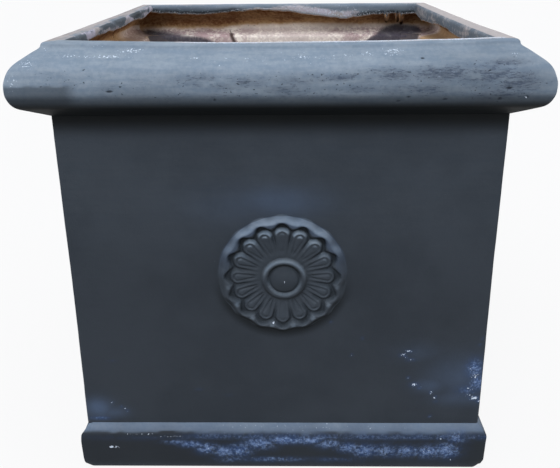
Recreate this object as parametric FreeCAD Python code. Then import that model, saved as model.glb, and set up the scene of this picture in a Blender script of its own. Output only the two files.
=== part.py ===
import FreeCAD, Part
import math
import os

# A square fibreclay planter with a heavy hollow rim, a plinth and a rosette on each side.
# It stands on the ground plane z = 0, centred on the z axis, and its front looks towards -y.
# Rim, wall and plinth lengths are laid up for each side in open moulds and meet at mitred ends.
# Strips of the same clay, pressed into the inside corners, bond the sides and the floor slab.

# Overall sizes, in millimetres
planter_height = 486.0
wall_width = 440.0  # across the outer faces of the walls, and of the lip above them
rim_height = 70.0  # from the neck, where the rim sits on the wall, up to the lip
rim_overhang = 30.0  # from the face of the wall out to the rim's widest part
plinth_height = 60.0  # from the ground up to the foot of the wall
plinth_projection = 10.0

# Wall and floor laminates
wall_thickness = 12.0
floor_thickness = 14.0
floor_clearance = 10.0  # from the ground up to the underside of the floor slab
floor_seat = 12.0  # breadth of the ledge inside the plinth that carries the slab
floor_bevel_depth = 5.0  # the slab's upper edge slopes down this far to the walls, under the bonds
drain_hole_radius = 12.5

# Rim section
lip_breadth = 18.0
lip_edge_radius = 3.0
rim_thickness = 12.0
ledge_thickness = 22.0  # the rim's underside, where it sits on the wall
flange_height = 18.0  # from the top of the lip down to the flange's lower edge
flange_thickness = 10.0

# Outside of the rim from the neck to the lip, as shares of its overhang and of its height
underside_end_share = (0.75, 0.175)
nose_low_share = ((0.94, 0.27), (1.0, 0.39))
nose_top_share = (1.0, 0.43)
shoulder_share = ((0.9, 0.62), (0.61, 0.76))
slope_end_share = (0.24, 0.87)
cove_share = ((0.12, 0.905), (0.06, 0.95))

# Hollow inside the rim from its ledge to its roof, as shares of the hollow's depth and height
ledge_end_share = (0.75, 0.13)
hollow_low_share = ((0.94, 0.2), (1.0, 0.33))
hollow_top_share = ((0.95, 0.47), (0.8, 0.59))
roof_end_share = (0.36, 0.86)

# Outside of the plinth from the wall to the ground, as shares of its projection and its height
weathering_end_share = (0.86, 0.83)
plinth_edge_share = ((0.955, 0.8), (1.0, 0.745))
toe_start_share = (0.93, 0.15)
toe_share = ((0.8, 0.053), (0.45, 0.0))

# Bonding strips
corner_bond_radius = 25.0
floor_bond_radius = 18.0

# Rosette, with its heights measured from the wall
rosette_radius = 68.5  # to the crest of each lobe
rosette_rise_share = 0.515  # its centre, from the foot of the wall to the neck
petal_count = 16
lobe_facets = 6
lobe_height = 6.0
notch_depth_share = 0.055  # the notches between lobes, as a share of each lobe's radius
lobe_top_share = 0.93  # outer edge of the border's top, as a share of the rosette's radius
lobe_inner_share = 0.87
dish_share = 0.84
dish_height = 2.5
petal_tip_radius = 53.5
petal_tip_breadth = 13.6
petal_root_radius = 21.0
petal_root_breadth = 5.4
petal_tip_facets = 4
midrib_tip_facets = 2
petal_edge_breadth = 2.1
petal_groove_breadth = 1.7
petal_groove_height = 4.0  # the grooves' floor
petal_root_height = 4.4
petal_tip_height = 6.6
petal_fall_share = 0.75  # height of the petal's very end, as a share of its height at the shoulder
ring_radius = 19.6  # centre line of the ring
ring_half_breadth = 3.6
ring_height = 9.0
ring_foot_height = 5.2
ring_facets = 3  # to each petal
boss_height = 7.6

# Ring from its outer foot to its inner foot, as shares of its half breadth and of its height above
# its foot, then the dome that it holds, as shares of the dome's radius and height
ring_section_share = ((1.0, 0.0), (0.65, 0.8), (0.2, 1.0), (-0.3, 0.95), (-1.0, 0.0))
boss_section_share = ((0.75, 0.55), (0.4, 1.0))

# Cutting tools run past the surfaces that they cut
overrun = 5.0

# What follows from these sizes
neck_height = planter_height - rim_height
wall_outer = wall_width / 2
wall_inner = wall_outer - wall_thickness
lip_inner = wall_outer - lip_breadth
floor_top = floor_clearance + floor_thickness
ledge_height = neck_height + ledge_thickness
roof_height = planter_height - rim_thickness
rim_width = wall_width + 2 * rim_overhang

SIDES = ("front", "right", "back", "left")
CORNERS = ("front_right", "back_right", "back_left", "front_left")
full_turn = 360.0

V = FreeCAD.Vector
CENTRE = V(0, 0, 0)
UP = V(0, 0, 1)


def face_of(steps):
    """Closed face from corners, where a pair of points is an arc through the first to the second."""
    edges = []
    here = steps[0]
    for step in steps[1:] + steps[:1]:
        if isinstance(step, tuple):
            edges.append(Part.Arc(here, step[0], step[1]).toShape())
            here = step[1]
        else:
            edges.append(Part.LineSegment(here, step).toShape())
            here = step
    return Part.Face(Part.Wire(edges))


def at(out, height):
    """Point of the front side's section, out being its distance from the planter's axis."""
    return V(0, -out, height)


def placer(out, height, depth, rise):
    """Turn shares of a section's depth and rise, counted from one of its corners, into points."""
    def place(share):
        if isinstance(share[0], tuple):
            return (place(share[0]), place(share[1]))
        return at(out + share[0] * depth, height + share[1] * rise)
    return place


def edge_arc(corner_out, corner_height, toward_out, toward_height):
    """Middle of the quarter circle that rounds the lip's edge, inside the given corner."""
    inset = lip_edge_radius * (1 - math.sqrt(0.5))
    return at(corner_out + toward_out * inset, corner_height + toward_height * inset)


def rim_section():
    outside = placer(wall_outer, neck_height, rim_overhang, rim_height)
    hollow_depth = wall_thickness + rim_overhang - rim_thickness
    hollow = placer(wall_inner, ledge_height, hollow_depth, roof_height - ledge_height)
    top = planter_height
    flange_foot = top - flange_height
    flange_back = lip_inner + flange_thickness
    flange_round = flange_thickness / 2
    return face_of([
        at(wall_inner, neck_height),
        at(wall_outer, neck_height),
        outside(underside_end_share),
        outside(nose_low_share),
        outside(nose_top_share),
        outside(shoulder_share),
        outside(slope_end_share),
        outside(cove_share),
        at(wall_outer, top - lip_edge_radius),
        (edge_arc(wall_outer, top, -1, -1), at(wall_outer - lip_edge_radius, top)),
        at(lip_inner + lip_edge_radius, top),
        (edge_arc(lip_inner, top, 1, -1), at(lip_inner, top - lip_edge_radius)),
        at(lip_inner, flange_foot + flange_round),
        (at(lip_inner + flange_round, flange_foot), at(flange_back, flange_foot + flange_round)),
        at(flange_back, roof_height),
        hollow(roof_end_share),
        hollow(hollow_top_share[1]),
        (hollow(hollow_top_share[0]), hollow(hollow_low_share[1])),
        (hollow(hollow_low_share[0]), hollow(ledge_end_share)),
        at(wall_inner, ledge_height),
    ])


def wall_section():
    return face_of([
        at(wall_inner, plinth_height),
        at(wall_outer, plinth_height),
        at(wall_outer, neck_height),
        at(wall_inner, neck_height),
    ])


def plinth_section():
    outside = placer(wall_outer, 0, plinth_projection, plinth_height)
    return face_of([
        at(wall_inner, plinth_height),
        at(wall_outer, plinth_height),
        outside(weathering_end_share),
        outside(plinth_edge_share),
        outside(toe_start_share),
        outside(toe_share),
        at(wall_inner - floor_seat, 0),
        at(wall_inner - floor_seat, floor_clearance),
        at(wall_inner, floor_clearance),
    ])


def cove_section(radius, corner, first, second):
    """Filling of an inside corner, hollowed to a radius, between two directions along its faces."""
    middle = corner + (first + second) * radius * (1 - math.sqrt(0.5))
    return face_of([corner, corner + first * radius, (middle, corner + second * radius)])


def mitred(section):
    """Length of a section along the front, with both ends cut on the planter's diagonals."""
    bar = section.extrude(V(rim_width, 0, 0))
    bar.translate(V(-rim_width / 2, 0, 0))
    corners = [CENTRE, V(-rim_width, -rim_width, 0), V(rim_width, -rim_width, 0), CENTRE]
    wedge = Part.Face(Part.makePolygon(corners)).extrude(V(0, 0, planter_height + 2 * overrun))
    wedge.translate(V(0, 0, -overrun))
    return bar.common(wedge)


def turned(shape, quarters):
    """Copy of a front or front right piece, turned about the planter's axis."""
    copy = shape.copy()
    copy.rotate(CENTRE, UP, full_turn / 4 * quarters)
    return copy


def square_outline(half, height):
    return [V(-half, -half, height), V(half, -half, height), V(half, half, height), V(-half, half, height)]


def floor_slab():
    """Slab with its upper edge bevelled all round to take the bonding clay, and a drain hole."""
    slab = skinned([
        square_outline(wall_inner, floor_clearance),
        square_outline(wall_inner, floor_top - floor_bevel_depth),
        square_outline(wall_inner - floor_bond_radius, floor_top),
    ])
    hole = Part.makeCylinder(drain_hole_radius, floor_top + overrun, CENTRE)
    return slab.cut(hole)


def corner_bond():
    """Strip that fills the front right inside corner from the floor slab to the rim's ledge."""
    corner = V(wall_inner, -wall_inner, floor_top)
    cove = cove_section(corner_bond_radius, corner, V(-1, 0, 0), V(0, 1, 0))
    return cove.extrude(V(0, 0, ledge_height - floor_top))


def floor_bond(corner_bonds):
    """Strip that fills the slab's bevel and coves up the front wall, under the corner strips."""
    cove = cove_section(floor_bond_radius, at(wall_inner, floor_top), V(0, 1, 0), UP)
    bevel = face_of([
        at(wall_inner, floor_top),
        at(wall_inner, floor_top - floor_bevel_depth),
        at(wall_inner - floor_bond_radius, floor_top),
    ])
    strip = mitred(cove.fuse(bevel).removeSplitter().Faces[0])
    return strip.cut(corner_bonds[0]).cut(corner_bonds[-1])


def lobed_outline(crest_radius, height):
    """Points round one lobe per petal, the first lobe with its crest straight up the wall."""
    notch_depth = crest_radius * notch_depth_share
    pitch = 2 * math.pi / petal_count
    points = []
    for place in range(petal_count * lobe_facets):
        across = 2 * (place % lobe_facets) / lobe_facets - 1
        radius = crest_radius - notch_depth * across * across
        angle = math.pi / 2 - pitch / 2 + pitch * place / lobe_facets
        points.append(V(radius * math.cos(angle), radius * math.sin(angle), height))
    return points


def round_outline(radius, height):
    """Points round the ring or the dome, a few to each petal."""
    points = []
    for place in range(petal_count * ring_facets):
        angle = 2 * math.pi * place / (petal_count * ring_facets)
        points.append(V(radius * math.cos(angle), radius * math.sin(angle), height))
    return points


def skinned(outlines):
    """Solid of flat faces through outlines of one shape and growing or shrinking size."""
    faces = [Part.Face(Part.makePolygon(ends + ends[:1])) for ends in (outlines[0], outlines[-1])]
    for foot, top in zip(outlines, outlines[1:]):
        for here in range(len(foot)):
            before = here - 1
            quad = [foot[before], foot[here], top[here], top[before], foot[before]]
            faces.append(Part.Face(Part.makePolygon(quad)))
    return Part.Solid(Part.Shell(faces))


def petal_outline(inset, facets):
    """Outline of the petal that points straight up the wall, drawn in on its sides by an inset."""
    half_tip = petal_tip_breadth / 2 - inset
    half_root = petal_root_breadth / 2 - inset
    tip_centre = petal_tip_radius - petal_tip_breadth / 2
    root = petal_root_radius
    if half_root < 0:
        # the sides of a narrow outline meet before they reach the root
        root = tip_centre - half_tip * (tip_centre - root) / (half_tip - half_root)
        half_root = 0
    points = [V(half_root, root, 0)]
    for facet in range(facets + 1):
        angle = math.pi * facet / facets
        points.append(V(half_tip * math.cos(angle), tip_centre + half_tip * math.sin(angle), 0))
    if half_root > 0:
        points.append(V(-half_root, root, 0))
    return points


def petal_prism(inset, foot, facets=petal_tip_facets):
    """Solid that stands on a petal's outline, from a foot up past the highest petal."""
    points = [point + UP * foot for point in petal_outline(inset, facets)]
    height = petal_tip_height + overrun - foot
    return Part.Face(Part.makePolygon(points + points[:1])).extrude(UP * height)


def petal():
    """Raised loop that rises to its tip, with a midrib standing in the groove inside it."""
    loop = petal_prism(0, 0)
    groove = petal_prism(petal_edge_breadth, petal_groove_height)
    midrib_inset = petal_edge_breadth + petal_groove_breadth
    midrib = petal_prism(midrib_inset, petal_groove_height, midrib_tip_facets)
    shoulder = petal_tip_radius - petal_tip_breadth / 2
    side = Part.makePolygon([
        V(-petal_tip_breadth, 0, 0),
        V(-petal_tip_breadth, petal_tip_radius, 0),
        V(-petal_tip_breadth, petal_tip_radius, petal_tip_height * petal_fall_share),
        V(-petal_tip_breadth, shoulder, petal_tip_height),
        V(-petal_tip_breadth, petal_root_radius, petal_root_height),
        V(-petal_tip_breadth, 0, petal_root_height),
        V(-petal_tip_breadth, 0, 0),
    ])
    below = Part.Face(side).extrude(V(2 * petal_tip_breadth, 0, 0))
    return loop.cut(groove).fuse(midrib).common(below)


def ring_and_boss():
    """Round ring with a shallow dome in its middle."""
    outlines = [round_outline(ring_radius + ring_half_breadth, 0)]
    for across, rise in ring_section_share:
        height = ring_foot_height + rise * (ring_height - ring_foot_height)
        outlines.append(round_outline(ring_radius + across * ring_half_breadth, height))
    for across, rise in boss_section_share:
        height = ring_foot_height + rise * (boss_height - ring_foot_height)
        outlines.append(round_outline(across * (ring_radius - ring_half_breadth), height))
    return skinned(outlines)


def rosette():
    """Rosette on the front wall, its petals fused to a lobed plate with a dished middle."""
    border_foot = lobed_outline(rosette_radius, 0)
    border_top = lobed_outline(rosette_radius * lobe_top_share, lobe_height)
    dish_floor = lobed_outline(rosette_radius * dish_share, dish_height)
    dish_mouth = lobed_outline(rosette_radius * lobe_inner_share, lobe_height)
    plate = skinned([border_foot, border_top]).cut(skinned([dish_floor, dish_mouth]))
    petals = []
    for place in range(petal_count):
        one = petal()
        one.rotate(CENTRE, UP, full_turn * place / petal_count)
        petals.append(one)
    whole = plate.fuse(petals + [ring_and_boss()]).removeSplitter()
    whole.rotate(CENTRE, V(1, 0, 0), full_turn / 4)
    rise = plinth_height + rosette_rise_share * (neck_height - plinth_height)
    whole.translate(at(wall_outer, rise))
    return whole


def planter():
    """Every piece of the planter by name."""
    bonds = [turned(corner_bond(), quarters) for quarters in range(len(SIDES))]
    front = {
        "rim": mitred(rim_section()),
        "wall": mitred(wall_section()),
        "plinth": mitred(plinth_section()),
        "rosette": rosette(),
        "floor_bond": floor_bond(bonds),
    }
    pieces = {"floor_slab": floor_slab()}
    for quarters, side in enumerate(SIDES):
        for name, shape in front.items():
            pieces[side + "_" + name] = turned(shape, quarters)
    for corner, bond in zip(CORNERS, bonds):
        pieces[corner + "_corner_bond"] = bond
    return pieces


def only_solid(shape):
    """The one solid that a cut or a fusion leaves, out of its compound."""
    if len(shape.Solids) != 1:
        raise ValueError("a piece came out as %d solids" % len(shape.Solids))
    return shape.Solids[0]


os.makedirs("parts", exist_ok=True)
for name, shape in planter().items():
    only_solid(shape).exportStep("parts/" + name + ".step")
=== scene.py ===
import itertools
import math

import bpy
import numpy as np
from mathutils import Matrix, Vector


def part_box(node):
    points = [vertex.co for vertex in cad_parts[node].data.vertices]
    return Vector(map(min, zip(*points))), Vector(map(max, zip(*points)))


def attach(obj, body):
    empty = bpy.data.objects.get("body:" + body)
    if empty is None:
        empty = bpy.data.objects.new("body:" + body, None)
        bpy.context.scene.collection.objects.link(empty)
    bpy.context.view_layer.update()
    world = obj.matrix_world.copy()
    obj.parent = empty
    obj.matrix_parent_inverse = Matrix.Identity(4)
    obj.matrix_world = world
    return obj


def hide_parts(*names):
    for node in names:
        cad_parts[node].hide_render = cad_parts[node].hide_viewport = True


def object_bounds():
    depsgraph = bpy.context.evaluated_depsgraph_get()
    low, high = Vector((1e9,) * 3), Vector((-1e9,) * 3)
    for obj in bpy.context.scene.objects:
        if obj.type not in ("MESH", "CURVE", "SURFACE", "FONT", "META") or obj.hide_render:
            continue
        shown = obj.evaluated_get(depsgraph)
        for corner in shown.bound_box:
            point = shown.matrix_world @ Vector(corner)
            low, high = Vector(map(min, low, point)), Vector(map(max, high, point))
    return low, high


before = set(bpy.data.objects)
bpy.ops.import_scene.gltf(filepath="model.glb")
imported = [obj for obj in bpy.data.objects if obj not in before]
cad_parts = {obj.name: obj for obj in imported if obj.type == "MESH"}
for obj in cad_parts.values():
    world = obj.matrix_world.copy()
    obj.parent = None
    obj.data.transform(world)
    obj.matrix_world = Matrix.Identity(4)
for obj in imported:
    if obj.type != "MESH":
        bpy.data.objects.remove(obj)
cad_low, cad_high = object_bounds()

MM = 0.001
SIDES = ("front", "right", "back", "left")
CORNERS = ("front_right", "back_right", "back_left", "front_left")

# Main sizes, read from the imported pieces
rim_low, rim_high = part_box("front_rim")
wall_low, wall_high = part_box("front_wall")
plinth_low, plinth_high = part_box("front_plinth")
slab_low, slab_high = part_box("floor_slab")
rosette_low, rosette_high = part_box("front_rosette")
bond_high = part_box("front_floor_bond")[1]
corner_low, corner_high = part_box("front_right_corner_bond")
top = rim_high.z
neck = rim_low.z
wall_out = -wall_low.y
wall_in = -wall_high.y
lip_in = -rim_high.y
overhang = -rim_low.y - wall_out
plinth_top = plinth_high.z
projection = -plinth_low.y - wall_out
seat_in = -plinth_high.y
slab_under, slab_top = slab_low.z, slab_high.z
cove_reach = bond_high.y + wall_in
corner_reach = corner_high.y - corner_low.y
ledge = corner_high.z
rosette_radius = (rosette_high.x - rosette_low.x) / 2
rosette_rise = (rosette_high.z + rosette_low.z) / 2
hole_radius = 12.5 * MM

# How far the skins stay inside the frame, and how far they run into their neighbours
skin_inset = 0.3 * MM
tuck = 8 * MM

# Spacing of a skin's points, by the part of a section that they lie on
SPACING = {
    "outside": 1.7 * MM,
    "lip": 1.7 * MM,
    "flange": 2.0 * MM,
    "hollow": 3.0 * MM,
    "ledge": 2.4 * MM,
    "face": 2.1 * MM,
    "inside": 6.0 * MM,
    "hidden": 8.0 * MM,
}


def smoothstep(value, low, high):
    share = np.clip((value - low) / (high - low), 0, 1)
    return share * share * (3 - 2 * share)


def bump(distance, width):
    return np.exp(-((distance / width) ** 2))


def spread(values, rounds):
    """Evens out values in a closed row with their neighbours."""
    for _ in range(rounds):
        values = (np.roll(values, 1, axis=0) + 2 * values + np.roll(values, -1, axis=0)) / 4
    return values


# Noise and relief

lattice_size = 32
lattice = np.random.default_rng(11).uniform(-1, 1, (lattice_size,) * 3)
seed_step = np.array([3.7, 7.1, 5.3])


def noise(points, cell, seed=0):
    """Smooth noise from about -1 to 1, its lumps one cell across, at an array of points."""
    scaled = points / cell + seed * seed_step
    foot = np.floor(scaled).astype(int)
    part = scaled - foot
    part = part * part * (3 - 2 * part)
    total = 0
    for corner in itertools.product((0, 1), repeat=3):
        place = (foot + corner) % lattice_size
        value = lattice[place[..., 0], place[..., 1], place[..., 2]]
        weight = np.where(corner, part, 1 - part).prod(axis=-1)
        total = total + value * weight
    return total


def coat_relief(points):
    """How far the painted outside stands off its true surface: flat trowelling and slight lumps."""
    broad = 0.32 * noise(points, 75 * MM, 1)
    lumps = 0.16 * noise(points, 21 * MM, 2) + 0.06 * noise(points, 7 * MM, 3)
    return (broad + lumps) * MM


def clay_relief(points):
    """The same for raw clay pressed in by hand."""
    broad = 1.1 * noise(points, 46 * MM, 4)
    lumps = 0.6 * noise(points, 15 * MM, 5) + 0.3 * noise(points, 6 * MM, 6)
    return (broad + lumps) * MM


# Sections: closed outlines of distance from the planter's axis and height, going up on the outside

def arc_run(start, middle, end, spacing):
    """Points on the circle through three points, after the start and up to the end."""
    (ax, ay), (bx, by), (cx, cy) = start, middle, end
    double_area = 2 * (ax * (by - cy) + bx * (cy - ay) + cx * (ay - by))
    a2, b2, c2 = ax * ax + ay * ay, bx * bx + by * by, cx * cx + cy * cy
    centre = np.array([
        a2 * (by - cy) + b2 * (cy - ay) + c2 * (ay - by),
        a2 * (cx - bx) + b2 * (ax - cx) + c2 * (bx - ax),
    ]) / double_area
    first, second, third = (math.atan2(y - centre[1], x - centre[0]) for x, y in (start, middle, end))
    sweep = (third - first) % (2 * math.pi)
    if (second - first) % (2 * math.pi) > sweep:
        sweep -= 2 * math.pi
    radius = math.dist(start, centre)
    count = max(2, math.ceil(abs(sweep) * radius / spacing))
    angles = first + sweep * np.arange(1, count + 1) / count
    return centre + radius * np.stack([np.cos(angles), np.sin(angles)], axis=1)


def line_run(start, end, spacing):
    count = max(1, math.ceil(math.dist(start, end) / spacing))
    share = np.arange(1, count + 1)[:, None] / count
    return np.array(start) + share * (np.array(end) - np.array(start))


def sampled(steps, softening):
    """Points of an outline, and the part that each is on. A step ends in a point, or in two for an arc."""
    points, parts = [], []
    here = steps[-1][-1]
    for part, *through in steps:
        run = arc_run if len(through) == 2 else line_run
        points.extend(run(here, *through, SPACING[part]))
        parts.extend([part] * (len(points) - len(parts)))
        here = through[-1]
    return spread(np.array(points), softening), np.array(parts)


# Skins: grids of rows round a section by stations along the planter

class Skin:
    """A section carried round the four sides, as rows by stations."""

    def __init__(self, steps, radius_of, straight_count, corner_count=9, softening=3):
        outline, self.parts = sampled(steps, softening)
        radii = spread(np.array([radius_of[part] for part in self.parts]), 6)[:, None]
        turns = np.linspace(-math.pi / 4, 0, corner_count, endpoint=False)
        ends = np.full(corner_count, 1.0)
        along = np.concatenate([-ends, np.linspace(-1, 1, straight_count), ends[1:]])
        turn = np.concatenate([turns, np.zeros(straight_count), -turns[:0:-1]])
        out, height = outline[:, :1], outline[:, 1:]
        x = along * (out - radii) + radii * np.sin(turn)
        y = -(out - radii) - radii * np.cos(turn)
        z = height + 0 * x
        step = np.roll(outline, -1, axis=0) - np.roll(outline, 1, axis=0)
        step /= np.linalg.norm(step, axis=1, keepdims=True)
        facing_out, self.facing_up = step[:, 1:], -step[:, :1]
        away = np.stack([facing_out * np.sin(turn), -facing_out * np.cos(turn), self.facing_up + 0 * turn], axis=-1)
        one_side = np.stack([x, y, z], axis=-1)
        quarters = [quarter_turn(q) for q in range(len(SIDES))]
        self.per_side = len(along)
        self.points = np.concatenate([one_side @ q.T for q in quarters], axis=1)
        self.away = np.concatenate([away @ q.T for q in quarters], axis=1)
        self.outline = outline
        self.along = np.tile(x, (1, len(SIDES)))
        self.height = np.tile(z, (1, len(SIDES)))

    def rows(self, *parts):
        """1 on the rows of these parts and 0 elsewhere, as a column."""
        return np.isin(self.parts, parts).astype(float)[:, None]

    def by_side(self, front, right, back, left, rounds=0):
        """One value for each side, as a row that is evened out round the corners."""
        row = np.repeat([front, right, back, left], self.per_side).astype(float)
        return spread(row, rounds)[None, :]

    def sides(self):
        """Each side's number, name and stations."""
        for number, side in enumerate(SIDES):
            yield number, side, slice(number * self.per_side, (number + 1) * self.per_side)

    def marked(self, marks):
        """Soft oval marks on each side: place along it, height, half length, half height, strength."""
        return np.concatenate([marks_on(self.along[:, span], self.height[:, span], elsewhere(marks, number))
                               for number, _, span in self.sides()], axis=1)

    def marked_here(self, marks):
        """The same on every side, in its own places."""
        return marks_on(self.along, self.height, marks)

    def move(self, distance):
        self.points = self.points + self.away * distance[..., None]


def quarter_turn(number):
    cosine, sine = ((1, 0), (0, 1), (-1, 0), (0, -1))[number]
    return np.array([[cosine, -sine, 0], [sine, cosine, 0], [0, 0, 1]])


def marks_on(along, height, marks):
    total = np.zeros(along.shape)
    for place, rise, half_length, half_height, strength in marks:
        near = bump(along - place * MM, half_length * MM) * bump(height - rise * MM, half_height * MM)
        total = np.maximum(total, strength * near)
    return total


def elsewhere(marks, side):
    """The front's marks as they are, and for another side the same weathering in other places."""
    if side == 0:
        return marks
    shift = (0, 137, 61, 211)[side]
    reach = 235
    return [((shift - place + reach) % (2 * reach) - reach, *others) for place, *others in marks]


def shading_normals(grid, closed):
    """Normals of a grid that is closed from its last row to its first, and perhaps along its stations."""
    down = np.roll(grid, -1, axis=0) - np.roll(grid, 1, axis=0)
    across = np.roll(grid, -1, axis=1) - np.roll(grid, 1, axis=1) if closed else np.gradient(grid, axis=1)
    normals = np.cross(across, down)
    return normals / np.maximum(np.linalg.norm(normals, axis=-1, keepdims=True), 1e-12)


def placed(name, data):
    """New object in the scene."""
    piece = bpy.data.objects.new(name, data)
    bpy.context.scene.collection.objects.link(piece)
    return piece


def mesh_piece(name, grid, normals, masks, closed=False):
    """Closed mesh of a grid's quads, with an end cap at its first and last station unless they meet."""
    row_count, station_count = grid.shape[:2]
    number = np.arange(row_count * station_count).reshape(row_count, station_count)
    below = np.roll(number, -1, axis=0)
    quads = np.stack([number, np.roll(number, -1, axis=1), np.roll(below, -1, axis=1), below], axis=-1)
    caps = []
    if not closed:
        quads = quads[:, :-1]
        caps = [number[:, 0].tolist(), number[::-1, -1].tolist()]
    quads = quads.reshape(-1, 4)
    mesh = bpy.data.meshes.new(name)
    mesh.from_pydata(grid.reshape(-1, 3), [], quads.tolist() + caps)
    smooth = np.ones(len(mesh.polygons), bool)
    smooth[len(quads):] = False
    mesh.polygons.foreach_set("use_smooth", smooth)
    corners = np.zeros((len(mesh.loops), 3))
    corners[:quads.size] = normals.reshape(-1, 3)[quads.reshape(-1)]
    mesh.normals_split_custom_set(corners.tolist())
    for mask, values in masks.items():
        attribute = mesh.attributes.new(name=mask, type="FLOAT", domain="POINT")
        attribute.data.foreach_set("value", np.broadcast_to(values, number.shape).reshape(-1).astype(np.float32))
    return placed(name, mesh)


def dressed(piece, node, slot):
    piece.data.materials.append(materials[slot])
    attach(piece, "root")
    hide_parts(node)


def four_sides(skin, part, slot):
    """One piece for each side of a skin, cut at the mitres."""
    skin.points = np.clip(skin.points, cad_low, cad_high)
    normals = shading_normals(skin.points, closed=True)
    for _, side, own in skin.sides():
        span = np.arange(own.start, own.stop + 1) % skin.points.shape[1]
        masks = {mask: np.broadcast_to(values, skin.along.shape)[:, span] for mask, values in skin.masks.items()}
        piece = mesh_piece(f"{side}_{part}_skin", skin.points[:, span], normals[:, span], masks)
        dressed(piece, f"{side}_{part}", slot)


# Materials

def rgb(code):
    """Linear colour of a hexadecimal sRGB code."""
    parts = [int(code[place:place + 2], 16) / 255 for place in (0, 2, 4)]
    return [part / 12.92 if part <= 0.04045 else ((part + 0.055) / 1.055) ** 2.4 for part in parts] + [1.0]


class Shades:
    """Node tree of a material or of the world. Each method adds a node and gives its output."""

    def __init__(self, owner):
        owner.use_nodes = True
        self.tree = owner.node_tree
        self.tree.nodes.clear()

    def node(self, kind, sockets=(), **settings):
        """The node itself, its sockets linked to outputs or set to values."""
        node = self.tree.nodes.new(kind)
        for key, value in settings.items():
            setattr(node, key, value)
        for key, value in dict(sockets).items():
            if isinstance(value, bpy.types.NodeSocket):
                self.tree.links.new(value, node.inputs[key])
            else:
                node.inputs[key].default_value = value
        return node

    def mask(self, name):
        return self.node("ShaderNodeAttribute", attribute_name=name).outputs["Fac"]

    def noise(self, cell, detail=2.0, roughness=0.5, flatten=1.0, shift=0.0):
        """Noise from 0 to 1 with lumps one cell wide, flattened in height by a factor."""
        place = self.node("ShaderNodeTexCoord").outputs["Object"]
        scale = self.node("ShaderNodeMapping", {
            "Vector": place, "Scale": (1.0, 1.0, flatten), "Location": (shift, shift, shift)})
        texture = self.node("ShaderNodeTexNoise", {
            "Vector": scale.outputs["Vector"], "Scale": 1 / cell, "Detail": detail, "Roughness": roughness})
        return texture.outputs["Fac"]

    def math(self, operation, first, second=0.0, third=0.0):
        return self.node("ShaderNodeMath", {0: first, 1: second, 2: third}, operation=operation).outputs["Value"]

    def times(self, value, *factors):
        for factor in factors:
            value = self.math("MULTIPLY", value, factor)
        return value

    def scaled(self, value, factor, added):
        return self.math("MULTIPLY_ADD", value, factor, added)

    def most(self, first, second):
        return self.math("MAXIMUM", first, second)

    def blend(self, first, second, share):
        """The first value and a share of the second, as a weighted mean."""
        return self.scaled(first, 1 - share, self.times(second, share))

    def step(self, value, low, high):
        return self.node("ShaderNodeMapRange", {"Value": value, "From Min": low, "From Max": high},
                         interpolation_type="SMOOTHSTEP").outputs["Result"]

    def broken(self, mask, grain, sharpness=0.12, reach=0.5):
        """A soft mask broken up by a noise, so that it ends in ragged patches."""
        lifted = self.scaled(mask, reach * 2, self.math("SUBTRACT", grain, 0.5 + reach))
        return self.step(self.math("DIVIDE", lifted, sharpness), -1.0, 1.0)

    def mix(self, factor, first, second):
        return self.node("ShaderNodeMix", {0: factor, 6: first, 7: second}, data_type="RGBA").outputs[2]


SLATE_DEEP, SLATE = rgb("252a2f"), rgb("2b3035")
# Bleached paint, which also serves as painted top light and painted highlights
BLEACHED_AND_TOP_LIT, BLEACHED_AND_TOP_LIT_COOL = rgb("7c878f"), rgb("6a7884")
# Near-black for painted shade, and for grime
GRIME_AND_SHADE, PIT = rgb("05090b"), rgb("151b23")
SCRATCH, SCRATCH_PALE = rgb("2c3547"), rgb("8a94a6")
# Bluish haze: stains on the wall, and painted bluish top light on the plinth's top slope and the rosette's upper border
HAZE_AND_TOP_LIGHT, SALT_HAZE, SALT = rgb("46556a"), rgb("29426a"), rgb("8096b8")
FLECK = rgb("bcc5ce")
CLAY_BROWN, CLAY_TAN = rgb("7b5436"), rgb("ac8a62")
CREAM, STAINED_CREAM, MAUVE = rgb("ebe2d4"), rgb("c6a678"), rgb("a78f8d")
DIRTY_WHITE, LILAC = rgb("9c9693"), rgb("b0adba")
OVERSPRAY = rgb("32343f")
CRACK = rgb("33251e")


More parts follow.
